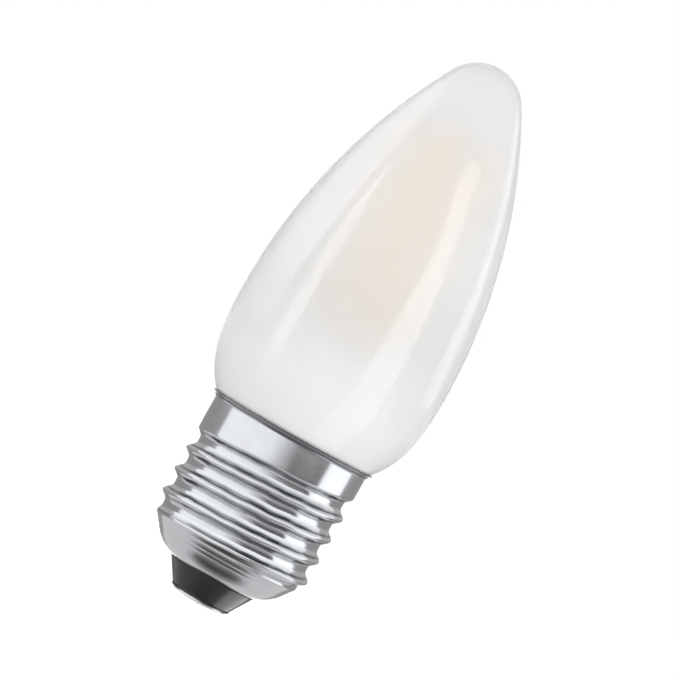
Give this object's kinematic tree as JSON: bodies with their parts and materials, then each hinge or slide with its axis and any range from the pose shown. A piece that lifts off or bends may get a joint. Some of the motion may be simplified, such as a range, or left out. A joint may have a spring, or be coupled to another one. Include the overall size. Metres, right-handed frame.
{
  "type": "candle bulb",
  "caption": "Frosted candle-shaped LED lamp with twisted filaments on a glass stem, nickel-plated screw cap, black insulator and domed centre contact.",
  "frame": {"origin": "middle of the flat of the centre contact, the lamp's lowest point", "axes": "+Z along the lamp's axis from the contact to the tip of the glass; +X is where the thread's helix is set out"},
  "size_m": [0.035, 0.035, 0.0925],
  "materials": {
    "frosted_glass": "frosted inside, glossy outside",
    "clear_glass": "clear",
    "nickel_plate": "bright nickel plate on pressed sheet",
    "black_insulator": "gloss moulded",
    "tinned_contact": "tinned",
    "cement": "matt",
    "nickel_wire": "drawn",
    "phosphor_coat": "silicone with phosphor",
    "circuit_board": "solder resist",
    "black_epoxy": "moulded epoxy",
    "capacitor_sleeve": "shrink sleeve",
    "resistor_lacquer": "lacquered",
    "chip_ceramic": "glazed chip"
  },
  "bodies": {
    "root": {"glass_envelope": "frosted_glass", "glass_stem": "clear_glass", "screw_shell": "nickel_plate", "cap_insulator": "black_insulator", "centre_contact": "tinned_contact", "basing_cement": "cement", "lead_wire_1": "nickel_wire", "lead_wire_2": "nickel_wire", "top_bridge_wire_1": "nickel_wire", "top_bridge_wire_2": "nickel_wire", "led_filament_1": "phosphor_coat", "led_filament_2": "phosphor_coat", "led_filament_3": "phosphor_coat", "led_filament_4": "phosphor_coat", "driver_board": "circuit_board", "bridge_rectifier": "black_epoxy", "current_regulator": "black_epoxy", "smoothing_capacitor": "capacitor_sleeve", "fuse_resistor": "resistor_lacquer", "sense_resistor_1": "chip_ceramic", "sense_resistor_2": "chip_ceramic", "neutral_wire": "nickel_wire"}
  },
  "joints": []
}
